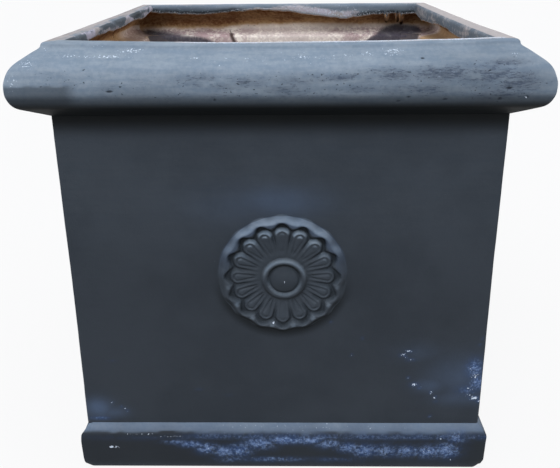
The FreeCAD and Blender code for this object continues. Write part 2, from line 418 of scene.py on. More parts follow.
def fibreclay(name):
    """Slate paint over raw fibreclay, mixed, weathered and given painted top light and shade by the masks of the mesh
    that wears it.
    """
    material = bpy.data.materials.new(name)
    s = Shades(material)
    paint, bleach_and_top_light, shade_and_grime, haze_and_top_light, bloom = map(s.mask, ("paint", "bleach_and_top_light", "shade_and_grime", "haze_and_top_light", "bloom"))
    pale, mauve, wear, pit, spray, fleck = map(s.mask, ("pale", "mauve", "wear", "pit", "spray", "fleck"))
    broad = s.noise(0.12, 3.0)
    patch = s.noise(0.028, 4.0, 0.6, shift=3.0)
    grain = s.noise(0.0042, 3.0, 0.6, shift=5.0)
    speck = s.noise(0.0018, 1.0, 0.5, shift=8.0)
    salt = s.noise(0.0034, 4.0, 0.7, shift=17.0)
    scratch = s.noise(0.0052, 4.0, 0.74, flatten=4.2, shift=9.0)
    streak = s.noise(0.0030, 3.0, 0.6, flatten=0.22, shift=21.0)
    pinhole = s.noise(0.0034, 1.0, 0.5, flatten=1.7, shift=26.0)
    zone = s.noise(0.045, 3.0, 0.6, flatten=3.0, shift=14.0)
    brush = s.noise(0.05, 3.0, 0.6, flatten=9.0, shift=12.0)
    mottle = s.blend(patch, grain, 0.5)
    raw = s.math("SUBTRACT", 1.0, s.broken(paint, grain, 0.10, 0.4))

    # paint
    colour = s.mix(s.step(s.blend(broad, patch, 0.4), 0.36, 0.64), SLATE_DEEP, SLATE)
    light = s.mix(s.step(s.blend(brush, grain, 0.4), 0.34, 0.66), BLEACHED_AND_TOP_LIT_COOL, BLEACHED_AND_TOP_LIT)
    # Lighter paint by the bleach mask: sun bleaching together with painted top light and highlights
    colour = s.mix(s.times(bleach_and_top_light, s.scaled(patch, 0.3, 0.82)), colour, light)
    worn = s.times(wear, s.step(zone, 0.38, 0.56))
    colour = s.mix(s.times(worn, 0.42), colour, SCRATCH)
    touched = s.step(wear, 0.05, 0.4)
    lines = s.step(s.scaled(worn, 0.15, scratch), 0.59, 0.70)
    colour = s.mix(s.times(touched, 0.52, lines), colour, SCRATCH)
    chips = s.step(s.scaled(worn, -0.09, scratch), 0.285, 0.25)
    colour = s.mix(s.times(touched, 0.6, chips), colour, SCRATCH_PALE)
    # Bluish haze stains, and painted bluish top light where the mask follows lit tops
    colour = s.mix(s.times(haze_and_top_light, s.scaled(patch, 0.6, 0.35)), colour, HAZE_AND_TOP_LIGHT)
    salty = s.times(bloom, s.step(mottle, 0.30, 0.62))
    colour = s.mix(s.times(salty, 0.9), colour, SALT_HAZE)
    crust = s.times(s.step(s.scaled(bloom, 0.10, salt), 0.46, 0.84), s.step(bloom, 0.1, 0.8))
    colour = s.mix(s.times(crust, 0.85), colour, SALT)

    # raw clay
    colour = s.mix(raw, colour, s.mix(s.step(mottle, 0.38, 0.62), CLAY_BROWN, CLAY_TAN))
    # Painted shade, with some grime, darkens the colour by its mask
    colour = s.mix(shade_and_grime, colour, GRIME_AND_SHADE)

    # pale patches: rubbed edges on paint, scum on clay
    dirty = s.mix(s.times(mauve, s.step(patch, 0.62, 0.40)), DIRTY_WHITE, LILAC)
    scum = s.mix(s.times(mauve, s.step(mottle, 0.36, 0.56)), CREAM, MAUVE)
    scum = s.mix(s.step(pale, 0.45, 0.98), STAINED_CREAM, scum)
    coarse = s.scaled(raw, s.math("SUBTRACT", s.blend(streak, patch, 0.45), zone), zone)
    rubbed = s.broken(pale, s.blend(grain, coarse, 0.65), s.scaled(raw, 0.30, 0.10), 0.45)
    colour = s.mix(rubbed, colour, s.mix(raw, dirty, scum))

    # spray, holes and flecks
    sprayed = s.broken(spray, s.blend(patch, streak, 0.5), 0.55, 0.45)
    colour = s.mix(s.times(sprayed, raw, 0.92), colour, OVERSPRAY)
    holes = s.times(s.step(wear, 0.03, 0.25), 0.75, s.step(pinhole, 0.31, 0.24))
    specks = s.times(raw, 0.55, s.step(speck, 0.33, 0.24))
    dots = s.most(s.most(holes, specks), s.times(s.step(pit, 0.25, 0.7), 0.9))
    colour = s.mix(dots, colour, s.mix(raw, PIT, CRACK))
    flecks = s.step(s.scaled(fleck, 0.42, speck), 0.84, 1.0)
    colour = s.mix(flecks, colour, s.mix(raw, FLECK, CREAM))

    roughness = s.scaled(s.most(salty, raw), 0.2, s.scaled(patch, 0.2, 0.55))
    height = s.scaled(grain, 0.25, s.times(raw, grain, 0.7))
    height = s.scaled(s.times(brush, paint), 0.25, height)
    height = s.math("SUBTRACT", height, s.times(lines, wear, 0.4))
    height = s.scaled(crust, 0.15, height)
    bumps = s.node("ShaderNodeBump", {"Height": height, "Strength": 0.8, "Distance": 0.8 * MM})
    shader = s.node("ShaderNodeBsdfPrincipled", {
        "Base Color": colour, "Roughness": roughness, "Specular IOR Level": 0.14, "Normal": bumps.outputs["Normal"]})
    s.node("ShaderNodeOutputMaterial", {"Surface": shader.outputs["BSDF"]})
    return material


materials = {"slate_paint": fibreclay("slate_coated_fibreclay"), "bare_fibreclay": fibreclay("bare_fibreclay")}


# Rim

# Weathering of the front: place along the side, height, half length and half height in mm, then strength
RIM_WEAR = [
    (20, 454, 50, 5, 0.7), (62, 455, 28, 4, 0.9), (-71, 454, 24, 6, 0.7), (100, 458, 30, 6, 0.8),
    (150, 459, 34, 7, 0.95), (182, 457, 34, 10, 1.0), (212, 452, 22, 10, 0.95), (205, 467, 20, 3, 0.9),
    (60, 446, 40, 5, 0.6), (130, 444, 60, 6, 0.6), (200, 440, 30, 6, 0.7), (-190, 455, 34, 7, 0.4),
    (-120, 452, 60, 8, 0.35), (0, 440, 200, 5, 0.35), (-36, 451, 34, 6, 0.85), (-4, 445, 34, 5, 0.75),
]
RIM_FLECKS = [
    (-188, 474, 22, 1.8, 0.78), (-158, 473.5, 28, 1.8, 0.86), (-135, 479, 18, 3.5, 0.85),
    (-165, 483, 10, 1.2, 0.9), (-76, 472.5, 14, 1.3, 0.78), (-30, 472.5, 9, 1.8, 0.74),
    (24, 473, 26, 1.3, 0.76), (60, 474, 16, 1.5, 0.72), (104, 477, 16, 5, 0.78), (80, 476, 9, 3, 0.7),
    (20, 475, 9, 4, 0.7), (20, 471, 50, 0.9, 0.6), (-53, 466, 1.6, 1.6, 1.2), (-228, 468, 9, 6, 0.8),
    (-240, 452, 7, 12, 0.7), (212, 473, 8, 2, 0.8), (-216, 481, 8, 3, 0.7), (104, 478, 2, 1.5, 0.9),
    (0, 472, 240, 9, 0.35), (15, 439.5, 6, 1.0, 1.0), (223, 437, 2, 2, 0.8),
]
RIM_STAINS = [
    (-140, 443, 60, 7, 0.22), (150, 446, 90, 12, 0.30), (190, 474, 80, 10, 0.16), (235, 452, 30, 16, 0.25),
    (30, 446, 60, 9, 0.15),
]
# The same without strength
RIM_PITS = [
    (-153, 444.6, 4.2, 1.5), (-58, 436.2, 2.0, 1.4), (-176, 463.3, 1.4, 1.0), (130, 471.3, 2.4, 1.0),
    (117, 438, 3.0, 1.2), (108, 434.5, 2.6, 1.1), (150, 436, 3.2, 1.2), (199, 436, 2.6, 1.8),
    (223, 437.5, 2.4, 1.6), (-215, 449, 1.6, 1.0), (-30, 452, 2.0, 1.2), (206, 446, 4.0, 1.4),
]
FLANGE_EDGE = {
    "front": [(-210, 468), (-120, 465), (-30, 471), (70, 466), (150, 470), (210, 468)],
    "right": [(-210, 468), (-59, 466.5), (-10, 469.7), (33, 469.7), (99, 465.7), (161, 464), (210, 470)],
    "back": [(-210, 469.5), (-154, 468.8), (-126, 467.5), (-94, 461.7), (-48, 468), (2, 475), (46, 476.4),
             (90, 473), (121, 470), (154, 470), (210, 474)],
    "left": [(-210, 476), (-141, 470), (-92, 473.7), (-21, 471), (55, 474), (122, 474), (210, 470)],
}
# Where slate still shows on the left flange, between the pale patches
FLANGE_SLATE = [(193, 484, 24, 9, 1.0), (62, 483, 34, 9, 1.0), (-101, 482, 34, 9, 1.0), (5, 485, 24, 5, 0.8)]
# Clay that hangs from the back flange: place along that side, half breadth and drop, in mm
DRIPS = [(-159, 0.9, 14), (-175, 0.8, 13), (-181, 1.1, 16)]
# Cracks in the ledge: ends along the side and in height, in mm, and half breadth
CRACKS = {"back": [(86, 444, 82, 440, 1.4), (82, 440, 77, 428, 4.4)], "left": [(-71, 466, -105, 449, 3.4)]}
# White chip beside the back crack
LEDGE_CHIP = [(73, 438, 3.5, 3.0, 2.4), (69, 432, 5.5, 3.5, 2.4)]
# Top of the cream scum on the back's clay, and of the sprayed patches at its two ends: place and height in mm
CREAM_TOP = [(-190, 451), (-40, 453.5), (60, 451), (110, 447)]
SPRAY_TOP = [(-224, 436), (-216, 448), (-205, 451), (-180, 452), (-165, 449), (-152, 443), (-138, 436), (-125, 426),
             (100, 426), (120, 434), (132, 437), (172, 441), (205, 445), (220, 446)]


def flange_edges(skin):
    """Height of the flange's lower edge at each station, without and with the hanging clay."""
    edges, hanging = [], []
    for _, side, span in skin.sides():
        along = skin.along[0, span] / MM
        places, heights = zip(*FLANGE_EDGE[side])
        edges.append(np.interp(along, places, heights))
        drop = 0 * along
        if side == "back":
            for place, half_breadth, length in DRIPS:
                drop = np.maximum(drop, length * np.exp(-((along - place) / (1.3 * half_breadth)) ** 4))
        hanging.append(drop)
    edge, drop = spread(np.concatenate(edges), 60), np.concatenate(hanging)
    edge = edge + 1.2 * noise(skin.points[0], 13 * MM, 21) + 0.7 * noise(skin.points[0], 5 * MM, 22)
    return edge * MM, (edge - drop) * MM


first_pit_seed = 40


def pits_on(skin, pits, loose_count):
    """Dents on each side's outside: the front's own and others scattered where it is worn."""
    dents = np.zeros(skin.along.shape)
    outside = np.flatnonzero(skin.parts == "outside")
    for number, _, span in skin.sides():
        wear = elsewhere(RIM_WEAR, number)
        draw = np.random.default_rng(first_pit_seed + number)
        marks = elsewhere([(*pit, 1.0) for pit in pits], number)
        for _ in range(loose_count):
            place, rise, half_length, half_height, strength = wear[draw.integers(len(wear))]
            marks.append((
                place + draw.normal() * half_length, rise + draw.normal() * half_height * 0.8,
                draw.uniform(0.8, 4.0), draw.uniform(0.4, 0.6), draw.uniform(0.3, 0.65) * min(1, strength + 0.2)))
        dents[outside, span] = marks_on(skin.along[outside, span], skin.height[outside, span], marks)
    return dents


def cracks_on(skin, cracks):
    depth = np.zeros(skin.along.shape)
    for _, side, span in skin.sides():
        along, height = skin.along[:, span] / MM, skin.height[:, span] / MM
        for start, high, end, low, half_breadth in cracks.get(side, ()):
            share = np.clip((high - height) / (high - low), 0, 1)
            centre = start + share * (end - start)
            near = bump(along - centre, half_breadth) * (height < high + 1) * (height > low - 1)
            depth[:, span] = np.maximum(depth[:, span], near)
    return depth


def rim():
    """Rim from its underside over the nose and lip to the flange, and back through its hollow."""
    def outside(out, rise):
        return (wall_out + out * overhang, neck + rise * (top - neck))
    edge_drop = 3 * MM
    flange_foot = top - 18 * MM
    flange_back = lip_in + 10 * MM
    round_end = flange_foot + 5 * MM
    roof = top - 12 * MM
    skin = Skin([
        ("hidden", (wall_in + 4 * MM, neck - 2 * MM)),
        ("outside", (wall_out - 2 * MM, neck - 0.5 * MM)),
        ("outside", outside(0.75, 0.175)),
        ("outside", outside(0.94, 0.27), outside(1, 0.39)),
        ("outside", outside(1, 0.43)),
        ("outside", outside(0.9, 0.62), outside(0.61, 0.76)),
        ("outside", outside(0.24, 0.87)),
        ("outside", outside(0.12, 0.905), outside(0.06, 0.95)),
        ("outside", (wall_out + 2.4 * MM, top - 2.6 * MM)),
        ("lip", (wall_out + 0.4 * MM, top)),
        ("lip", (lip_in + edge_drop, top)),
        ("flange", (lip_in, top - edge_drop)),
        ("flange", (lip_in, round_end)),
        ("flange", (lip_in + 5 * MM, flange_foot), (flange_back, round_end)),
        ("hidden", (flange_back, roof)),
        ("hidden", (wall_out - 1 * MM, roof - 5 * MM)),
        ("hollow", (wall_in + 24 * MM, ledge + 21 * MM)),
        ("hollow", (wall_in + 28.5 * MM, ledge + 17 * MM), (wall_in + 30 * MM, ledge + 12 * MM)),
        ("hollow", (wall_in + 28 * MM, ledge + 7 * MM), (wall_in + 22.5 * MM, ledge + 4.7 * MM)),
        ("ledge", (wall_in, ledge)),
        ("ledge", (wall_in, neck + 5 * MM)),
    ], {"outside": 2.5 * MM, "lip": 2 * MM, "flange": 2.5 * MM, "hollow": 22 * MM, "ledge": 16 * MM,
        "hidden": 4 * MM}, straight_count=271, softening=2)
    coat, lip = skin.rows("outside", "lip"), skin.rows("lip")
    raw = skin.rows("hollow", "ledge", "hidden")
    flange = skin.rows("flange")
    up = skin.facing_up
    z = skin.height
    dents = pits_on(skin, RIM_PITS, 60)
    cracks = cracks_on(skin, CRACKS) * raw
    edge, hanging_edge = flange_edges(skin)
    nominal = (z - flange_foot) / (top - flange_foot)
    lowered = (hanging_edge - flange_foot) * (1 - smoothstep(nominal, 0, 0.85)) * spread(flange, 1)
    coat_move = coat_relief(skin.points) - skin_inset - dents * 0.7 * MM
    rounded = spread(skin.rows("hollow", "ledge"), 2)
    fuller = smoothstep(up, 0.3, 0.7) * smoothstep(top - z, 4 * MM, 9 * MM) + 1.6 * smoothstep(-up, 0.3, 0.9)
    coat_move = coat_move + fuller * skin.rows("outside") * MM
    skin.move(coat_move * (coat + 0.6 * flange) + (clay_relief(skin.points) - 1.5 * MM * cracks) * rounded)
    sag = skin.by_side(3.2, 1.0, 0.3, 0.8) * MM * np.clip(1 - (skin.along / wall_in) ** 2, 0, 1)
    skin.points[..., 2] += lowered - sag * smoothstep(z, neck + 45 * MM, top - 1 * MM)

    out, over_edge = skin.outline[:, :1], skin.points[..., 2] - edge
    wear = skin.marked(RIM_WEAR) * coat
    front, back = skin.by_side(1, 0, 0, 0), skin.by_side(0, 0, 1, 0)
    left, right = skin.by_side(0, 0, 0, 1, 40), skin.by_side(0, 1, 0, 0, 40)
    back_clay = skin.by_side(0, 0, 1, 0, 40)
    # Pale, flecked line along the inner edge of the front lip
    lip_edge_line = front * bump(out - lip_in - 5 * MM, 9 * MM) * (z > top - 4 * MM)
    lip_edge_line = lip_edge_line * (0.35 + 0.65 * smoothstep(skin.along, -110 * MM, -80 * MM))
    dark_ends = back * smoothstep(np.abs(skin.along + 20 * MM), 70 * MM, 100 * MM)
    dark_line = dark_ends * bump(over_edge - 4 * MM, 3.4 * MM) * smoothstep(over_edge, -0.5 * MM, 1.5 * MM)
    outer_half = smoothstep(out, lip_in + 8 * MM, lip_in + 11 * MM)
    lip_pale = skin.by_side(0.1, 0.92, 0.45, 0) + left * (0.50 + 0.32 * outer_half)
    crumbly = back * bump(skin.along + 62 * MM, 58 * MM) * (1 - smoothstep(over_edge, 9 * MM, 17 * MM))
    stretched = skin.points * (1, 0.3, 1)
    blotches = 0.5 * noise(stretched, 8 * MM, 27) + 0.5 * noise(stretched, 4 * MM, 28)
    slate_left = left * smoothstep(skin.marked_here(FLANGE_SLATE) + blotches, -0.1, 0.85)
    flange_pale = skin.by_side(0.3, 0.44, 0.30, 0.56) * (1 - 0.85 * slate_left) + 0.42 * crumbly
    flange_pale = flange_pale + (1 - dark_ends) * back * 0.25 * (1 - smoothstep(over_edge, 3 * MM, 7 * MM))
    cream_top, sprayed_top = (np.interp(skin.along / MM, *zip(*line)) * MM for line in (CREAM_TOP, SPRAY_TOP))
    ragged = (1.2 * noise(skin.points, 15 * MM, 24) + 1.2 * noise(skin.points, 4 * MM, 25)) * MM
    cream = back_clay * smoothstep(cream_top + ragged - z, -12 * MM, 6 * MM)
    # The up-facing ledge leans to mauve as painted shade on its lit top; the rest of the mauve is the clay's own tint
    clay_mauve = 0.12 + 0.15 * smoothstep(up, 0.3, 0.9) + 0.55 * left + 0.35 * right
    off_middle = smoothstep(np.abs(skin.along + 10 * MM), 30 * MM, 110 * MM)
    clay_mauve = clay_mauve + smoothstep(ledge + 10 * MM - z, -4 * MM, 5 * MM) * (0.315 + 0.435 * off_middle)
    clay_ends = left * smoothstep(-skin.along, 85 * MM, 165 * MM) + right * smoothstep(skin.along, 160 * MM, 200 * MM)
    drip = smoothstep(edge - hanging_edge, 0.2 * MM, 1.5 * MM)
    stain = front * (1 - smoothstep(skin.along, -196 * MM, -180 * MM))
    stain = stain * smoothstep(450 * MM + noise(skin.points, 9 * MM, 26) * MM - z, -0.8 * MM, 1.8 * MM)
    skin.masks = {
        "paint": coat + flange * smoothstep(over_edge, 0.6 * MM, 2.4 * MM),
        # Painted top light: the outside grows lighter the more it faces up, on top of the sun bleaching and stains
        "bleach_and_top_light": np.clip(coat * smoothstep(up, -0.92, -0.05)
                          * (1 - 0.25 * wear - 0.58 * stain - skin.marked(RIM_STAINS))
                          + flange * (skin.by_side(0.4, 0.52, 0.60, 0.56) * (1 - 0.8 * slate_left) + 0.3 * crumbly
                                      + 0.25 * left * blotches
                                      + 0.25 * noise(skin.points, 45 * MM, 23)), 0, 1),
        # Painted shade: the nose darkens as it turns under, and the hollow darkens towards its top under the flange;
        # also the dark band above the back flange's edge
        "shade_and_grime": coat * (0.59 * smoothstep(-up, -0.11, 0.41) + 0.365 * smoothstep(-up, 0.45, 0.88))
                 + rounded * 0.22 * smoothstep(z, ledge + 17 * MM, ledge + 28 * MM) + flange * 0.85 * dark_line,
        "wear": wear,
        "pit": np.clip(np.maximum(dents * 0.85, cracks * 0.7) + flange * drip * 0.55 * (over_edge < 0)
                       + lip * left * (0.38 + 0.12 * blotches), 0, 1),
        "pale": np.clip(lip * lip_pale + 0.62 * lip_edge_line + flange * (1 - drip) * flange_pale
                        + rounded * (cream + (left * 0.40 + right * 0.58) * (z < ledge + 16 * MM)
                                     + clay_ends * 0.42), 0, 1),
        "fleck": np.clip(coat * skin.marked(RIM_FLECKS) + 1.3 * lip_edge_line
                         + flange * (1 - drip) * (0.7 * bump(over_edge - 2 * MM, 2 * MM) + 0.4 * crumbly + 0.38)
                         + rounded * back * skin.marked_here(LEDGE_CHIP), 0, 1.6),
        "mauve": (1 - rounded) * (left * flange + 0.8 * crumbly) + rounded * np.clip(clay_mauve, 0, 1),
        "spray": rounded * back_clay * smoothstep(sprayed_top - z, -3 * MM, 4 * MM),
    }
    four_sides(skin, "rim", "slate_paint")


# Walls

WALL_SCUFFS = [
    (132, 147, 4, 2.0, 1.0), (138, 152, 5, 1.8, 0.9), (141, 141, 5, 1.5, 0.8), (136, 144, 2, 2, 0.8),
    (139, 118, 2, 2, 0.8), (146, 109, 5, 2.6, 0.9), (152, 105, 3, 1.5, 0.7), (165, 99, 1.8, 1.8, 1.1),
    (170, 93, 1.8, 1.8, 1.1), (171, 87, 2, 1.5, 0.7), (166, 67, 1.8, 1.8, 1.0), (213, 92, 6, 2.6, 1.1),
    (219, 88, 3, 2, 1.1), (207, 95, 4, 1.5, 0.8), (76, 147, 1.6, 1.6, 0.9), (87, 168, 1.5, 1.5, 0.8),
    (53, 188, 1.5, 1.5, 0.6), (-181, 80, 1.5, 1.2, 1.0), (-190, 85, 1.5, 1.2, 0.9), (-174, 74, 1.5, 1.2, 1.0),
    (-177, 77, 1.2, 1.2, 0.8), (-186, 139, 5, 1.0, 0.5), (-92, 103, 4, 1.0, 0.6), (-60, 95, 5, 1.0, 0.5),
    (216, 168, 1.2, 1.2, 0.8), (214, 160, 2, 1.2, 0.6), (206, 130, 4, 3, 0.7), (212, 120, 5, 6, 0.7),
    (208, 106, 6, 6, 0.6),
]
WALL_HAZE = [
    (-207, 78, 15, 13, 1.0), (-190, 72, 16, 8, 0.6), (195, 120, 34, 26, 0.5), (200, 92, 30, 10, 0.5),
    (165, 108, 20, 10, 0.5), (150, 150, 25, 12, 0.25), (0, 326, 44, 16, 0.55), (-30, 322, 60, 22, 0.25),
]
WALL_BLOOM = [(211, 130, 9, 12, 0.75), (215, 112, 8, 10, 0.8), (206, 102, 12, 6, 0.5), (-206, 64, 12, 2, 0.6)]


def wall():
    skin = Skin([
        ("hidden", (wall_out, plinth_top - tuck)),
        ("face", (wall_out, neck + tuck)),
        ("hidden", (wall_in, neck + tuck)),
        ("inside", (wall_in, plinth_top - tuck)),
    ], dict.fromkeys(SPACING, 1.8 * MM), straight_count=222, corner_count=6, softening=0)
    coat, raw = skin.rows("face"), skin.rows("inside")
    z = skin.height
    flare = 1.3 * MM * (1 - smoothstep(z, plinth_top, 0.55 * neck))
    skin.move((coat_relief(skin.points) - skin_inset + flare) * coat + clay_relief(skin.points) * raw)
    drop = neck - z
    # Painted shade under the rim's overhang, darkest at the neck
    shade = 1 - smoothstep(drop, 4 * MM, 26 * MM)
    scuffs = skin.marked(WALL_SCUFFS)
    # Painted shadow of the rosette on the wall below it
    rise = z - rosette_rise
    beyond = np.hypot(skin.along - front_shift[0], rise) - rosette_radius
    rosette_shadow = 0.75 * (1 - smoothstep(beyond, -2 * MM, 9 * MM)) * smoothstep(-rise, -5 * MM, 40 * MM)
    skin.masks = {
        "paint": 1 - raw,
        # Slightly lighter towards the top of the wall
        "bleach_and_top_light": coat * 0.05 * smoothstep(z, 0.20, 0.36),
        "shade_and_grime": coat * np.maximum(shade, rosette_shadow),
        "haze_and_top_light": coat * skin.marked(WALL_HAZE),
        "bloom": coat * np.clip(np.maximum(scuffs * 0.6, skin.marked(WALL_BLOOM)), 0, 1),
        "pale": raw * 0.12,
        "fleck": coat * scuffs * 1.2,
        "mauve": raw * 0.6,
        "spray": raw * 0.45 * smoothstep(z, 0.33, 0.42),
    }
    four_sides(skin, "wall", "slate_paint")


# Plinth

PLINTH_BLOOM = [
    (-121, 38, 16, 3.5, 0.75), (-102, 35, 16, 5, 0.9), (-84, 29, 14, 8, 1.0), (-65, 25, 16, 8, 0.95),
    (-48, 27, 16, 10, 0.9), (-26, 36, 20, 9, 0.9), (2, 41, 24, 6, 1.0), (30, 41, 24, 5.5, 1.0),
    (52, 36, 16, 7, 0.85), (74, 31, 16, 8, 0.85), (94, 27, 18, 10, 0.85), (117, 27, 18, 10, 0.8),
    (142, 26, 20, 9, 0.85), (166, 26, 18, 10, 0.95), (186, 28, 16, 12, 0.9), (-10, 14, 42, 4, 0.65),
    (-60, 14, 20, 5, 0.55), (60, 14, 40, 4, 0.4), (196, 44, 14, 9, 0.7), (0, 44, 230, 4, 0.35),
]
PLINTH_CHIPS = [
    (-194, 31, 3, 2.2, 1.5), (-187, 31, 8, 1.6, 1.1), (-160, 48.5, 24, 1.4, 0.8), (-120, 46, 30, 1.5, 0.75),
    (191, 14, 1.8, 1.8, 1.2), (178, 44, 1.8, 1.6, 1.1), (-123, 17, 2, 1.5, 0.8), (0, 50, 180, 1.2, 0.45),
    (20, 55, 160, 4, 0.45),
]


def plinth():
    def outside(out, rise):
        return (wall_out + out * projection, rise * plinth_top)
    skin = Skin([
        ("hidden", (seat_in, 0)),
        ("outside", outside(0.45, 0)),
        ("outside", outside(0.8, 0.053), outside(0.93, 0.15)),
        ("outside", outside(1, 0.745)),
        ("outside", outside(0.955, 0.8), outside(0.86, 0.83)),
        ("outside", (wall_out - 1 * MM, plinth_top + 0.7 * MM)),
        ("hidden", (wall_in + 4 * MM, plinth_top + 3 * MM)),
        ("inside", (wall_in, plinth_top)),
        ("inside", (wall_in, slab_under)),
        ("hidden", (seat_in, slab_under)),
    ], dict.fromkeys(SPACING, 2.5 * MM), straight_count=240, softening=1)
    coat, raw = skin.rows("outside"), skin.rows("inside")
    z = skin.height
    face = coat * smoothstep(z, 0, 8 * MM)
    corner_wear = smoothstep(np.abs(skin.along), 217 * MM, 229 * MM) * (1 - smoothstep(z, 0, 15 * MM)) * coat
    ends = np.where(skin.along > 0, skin.by_side(5.2, 3.2, 3.2, 3.2), skin.by_side(3.2, 5.2, 3.2, 3.2))
    rounded_end = skin.by_side(0, 0, 0, 1) * smoothstep(skin.along, 120 * MM, 215 * MM)
    rounded_end = rounded_end + skin.by_side(0.6, 0, 0, 0) * smoothstep(-skin.along, 214 * MM, 229 * MM)
    rounded_end = rounded_end * (1.3 + 5 * smoothstep(z, 34 * MM, 58 * MM)) * smoothstep(z, 6 * MM, 14 * MM)
    skin.move((coat_relief(skin.points) - skin_inset) * face + clay_relief(skin.points) * raw * 0.5
              - ends * MM * corner_wear - rounded_end * MM * coat)
    skin.points[..., 2] = np.maximum(skin.points[..., 2], 0)
    ragged = (2.5 * noise(skin.points, 30 * MM, 33) + 1.2 * noise(skin.points, 8 * MM, 34)) * MM
    wider = smoothstep(skin.along, -135 * MM, -85 * MM)
    # The top slope's lit band, which the masks below paint with top light
    lit = smoothstep(z + ragged * (z < 52 * MM), 49.5 * MM - 1.5 * MM * wider, 52.5 * MM)
    salted = skin.marked(PLINTH_BLOOM)
    skin.masks = {
        "paint": coat,
        "bleach_and_top_light": coat * lit * (0.70 + 0.18 * noise(skin.points, 24 * MM, 35)) * (1 - 0.35 * bump(z - 51 * MM, 3 * MM)),
        # Darker at the toe, and painted shade on the face below the lit band
        "shade_and_grime": coat * np.clip((1 - smoothstep(z, 0, 10 * MM)) * 0.1
                                 + 0.42 * (1 - lit) * (1 - salted) * smoothstep(z, 4 * MM, 12 * MM), 0, 1),
        "haze_and_top_light": coat * (0.2 * bump(z - 46 * MM, 4 * MM) * wider + 0.62 * lit),
        "bloom": coat * np.maximum(salted * smoothstep(z, 0, 5 * MM), 0.52 * bump(z - 46 * MM, 4 * MM) * wider),
        "fleck": coat * np.maximum(skin.marked(PLINTH_CHIPS), 0.55 * salted),
        "mauve": raw * 0.5,
    }
    four_sides(skin, "plinth", "slate_paint")


# Floor and bonds

def floor():
    skin = Skin([
        ("hidden", (wall_in, slab_under)),
        ("hidden", (wall_in, slab_top - 5 * MM)),
        ("inside", (wall_in - cove_reach, slab_top)),
        ("inside", (hole_radius, slab_top)),
        ("ledge", (hole_radius, slab_under)),
        ("inside", (wall_in, slab_under)),
    ], dict.fromkeys(SPACING, 2 * MM), straight_count=70, softening=0)
    plan, out = skin.points[..., :2], skin.outline[:, :1]
    share = smoothstep(out, hole_radius, 5 * hole_radius)
    round_plan = plan / np.linalg.norm(plan, axis=-1, keepdims=True) * out[..., None]
    skin.points[..., :2] = plan + (1 - share)[..., None] * (round_plan - plan)
    raw = skin.rows("inside")
    skin.move(clay_relief(skin.points) * raw * share * 0.6 - 0.5 * MM * raw)
    skin.masks = {"pale": 0.12, "mauve": 0.5}
    normals = shading_normals(skin.points, closed=True)
    piece = mesh_piece("floor_slab_skin", skin.points, normals, skin.masks, closed=True)
    dressed(piece, "floor_slab", "bare_fibreclay")


def floor_bonds():
    middle = cove_reach * (1 - math.sqrt(0.5))
    skin = Skin([
        ("hidden", (wall_in + 3 * MM, slab_top - 6 * MM)),
        ("hidden", (wall_in + 3 * MM, slab_top + cove_reach)),
        ("ledge", (wall_in, slab_top + cove_reach)),
        ("ledge", (wall_in - middle, slab_top + middle), (wall_in - cove_reach, slab_top)),
    ], {"ledge": 4 * MM, "hidden": 3 * MM}, straight_count=90, corner_count=5, softening=0)
    raw = skin.rows("ledge")
    skin.move((clay_relief(skin.points) + 0.8 * MM) * raw)
    skin.masks = {"pale": 0.25, "mauve": 0.5}
    four_sides(skin, "floor_bond", "bare_fibreclay")


def corner_bonds():
    """Lumpy strips up the inside corners, which spread a little over the rim's ledge."""
    corner = np.array([wall_in, -wall_in])
    reach = corner_reach
    middle = corner + np.array([-1, 1]) * reach * (1 - math.sqrt(0.5))
    arc = arc_run(corner + (-reach, 0), middle, corner + (0, reach), 2.5 * MM)
    hidden = 5 * MM
    plan = np.array([corner + (-reach, 0), *arc, corner + (hidden, reach), corner + (hidden, -hidden),
                     corner + (-reach, -hidden)])
    shown = np.array([1.0] * (len(arc) + 1) + [0.0] * 3)[:, None]
    heights = np.linspace(slab_top - 3 * MM, ledge + 1 * MM, 110)
    inward = np.array([-1, 1, 0]) / math.sqrt(2)
    # Which end of the arc lies on the back wall, where the spray reached the clay
    share = np.clip(np.arange(len(plan)) / len(arc), 0, 1)[:, None]
    behind = {"front_right": 0, "back_right": smoothstep(share, 0.05, 0.3),
              "back_left": smoothstep(1 - share, 0.05, 0.3), "front_left": 0}
    for number, name in enumerate(CORNERS):
        grid = np.zeros((len(plan), len(heights), 3))
        grid[..., :2] = plan[:, None]
        grid[..., 2] = heights
        grid = grid @ quarter_turn(number).T
        mound = 4.5 * MM * smoothstep(heights, ledge - 9 * MM, ledge + 1 * MM)
        lumps = (clay_relief(grid) * 1.5 + 1.2 * MM - mound) * shown
        grid = grid + (quarter_turn(number) @ inward) * lumps[..., None]
        sprayed = smoothstep(heights, ledge - 70 * MM, ledge - 40 * MM)[None, :] * behind[name]
        pale = 0.32 + 0.38 * smoothstep(heights, ledge - 90 * MM, ledge - 30 * MM)
        masks = {"pale": pale, "mauve": 0.5, "spray": sprayed}
        piece = mesh_piece(f"{name}_corner_bond_skin", grid, shading_normals(grid, closed=False), masks)
        dressed(piece, f"{name}_corner_bond", "bare_fibreclay")


# Rosettes

petal_count = 16
# How clearly each petal's lines still show through the paint, from the top one anticlockwise
PETAL_CRISPNESS = np.array([0.15, 0.5, 0.6, 0.8, 0.9, 1.0, 0.95, 0.85, 0.3, 0.8, 0.85, 0.8, 0.8, 0.7, 0.4, 0.6])
# The photographed rosette isn't quite centred, and its boss isn't quite in the middle of its petals
front_shift = (1.8 * MM, 0.7 * MM)
front_boss_shift = (1.8, -2.2)


def softer_maximum(first, second, softness):
    share = np.clip(0.5 + 0.5 * (second - first) / softness, 0, 1)
    return first + (second - first) * share + softness * share * (1 - share)


